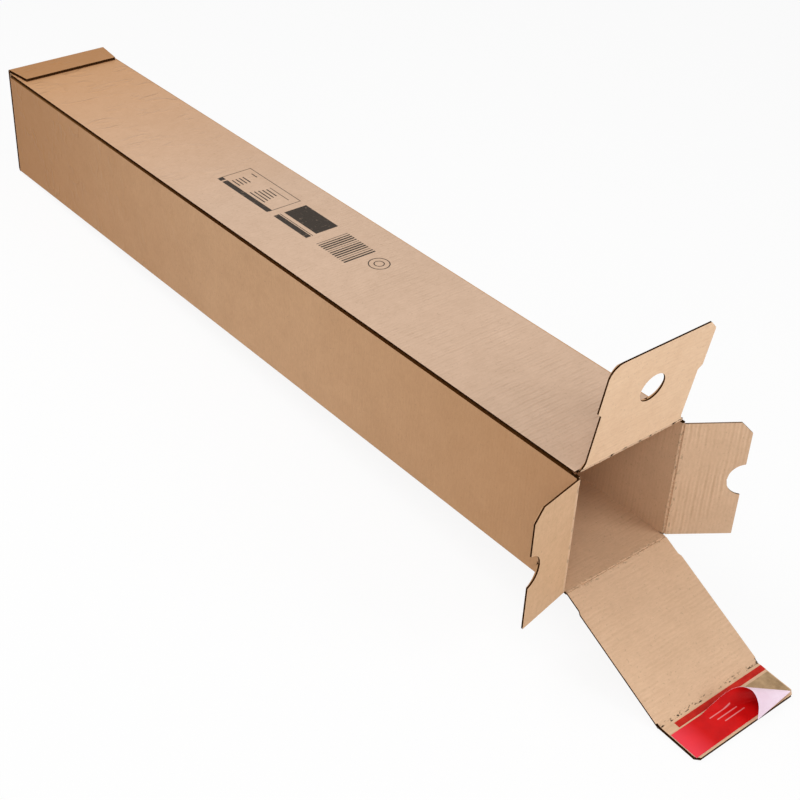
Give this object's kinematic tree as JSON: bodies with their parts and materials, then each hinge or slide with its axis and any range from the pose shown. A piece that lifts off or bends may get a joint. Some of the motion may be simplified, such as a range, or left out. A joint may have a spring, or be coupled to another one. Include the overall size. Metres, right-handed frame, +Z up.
{
  "type": "square mailing tube",
  "caption": "Long square mailing tube folded from corrugated board, sealed at one end, with hinged flaps and a self-seal lip standing open at the other.",
  "frame": {"origin": "centre of the tube's base face", "axes": "+X along the tube towards the open end, +Z up from the base, +Y across to the right wall"},
  "size_m": [1.0127, 0.2132, 0.2721],
  "materials": {
    "kraft_board": "matte kraft liner",
    "tear_tape": "thin red tape",
    "glue": "clear glue on kraft",
    "film": "glossy red film, pale on its back"
  },
  "bodies": {
    "tube": {"tube": "kraft_board", "sealed_glue_band": "glue", "sealed_tear_strip": "tear_tape"},
    "top_flap": {"top_flap": "kraft_board"},
    "left_flap": {"left_flap": "kraft_board"},
    "right_flap": {"right_flap": "kraft_board"},
    "closing_flap": {"closing_flap": "kraft_board"},
    "glue_lip": {"glue_lip": "kraft_board", "tear_strip": "tear_tape", "glue_band": "glue", "release_film": "film"}
  },
  "joints": [
    {"name": "top_flap_crease", "type": "hinge", "parent": "tube", "child": "top_flap", "pos_m": [0.4253, 0, 0.116], "axis": [0, 1, 0], "range_deg": [-94, 171]},
    {"name": "left_flap_crease", "type": "hinge", "parent": "tube", "child": "left_flap", "pos_m": [0.4286, -0.058, 0.058], "axis": [0, 0, 1], "range_deg": [-96, 169]},
    {"name": "right_flap_crease", "type": "hinge", "parent": "tube", "child": "right_flap", "pos_m": [0.4286, 0.058, 0.058], "axis": [0, 0, -1], "range_deg": [-120, 145]},
    {"name": "closing_flap_crease", "type": "hinge", "parent": "tube", "child": "closing_flap", "pos_m": [0.4319, 0, 0], "axis": [0, -1, 0], "range_deg": [-62, 107]},
    {"name": "glue_lip_crease", "type": "hinge", "parent": "closing_flap", "child": "glue_lip", "pos_m": [0.53772, 0, -0.05509], "axis": [0, -1, 0], "range_deg": [-24, 65.8], "deforming": ["release_film"]}
  ]
}
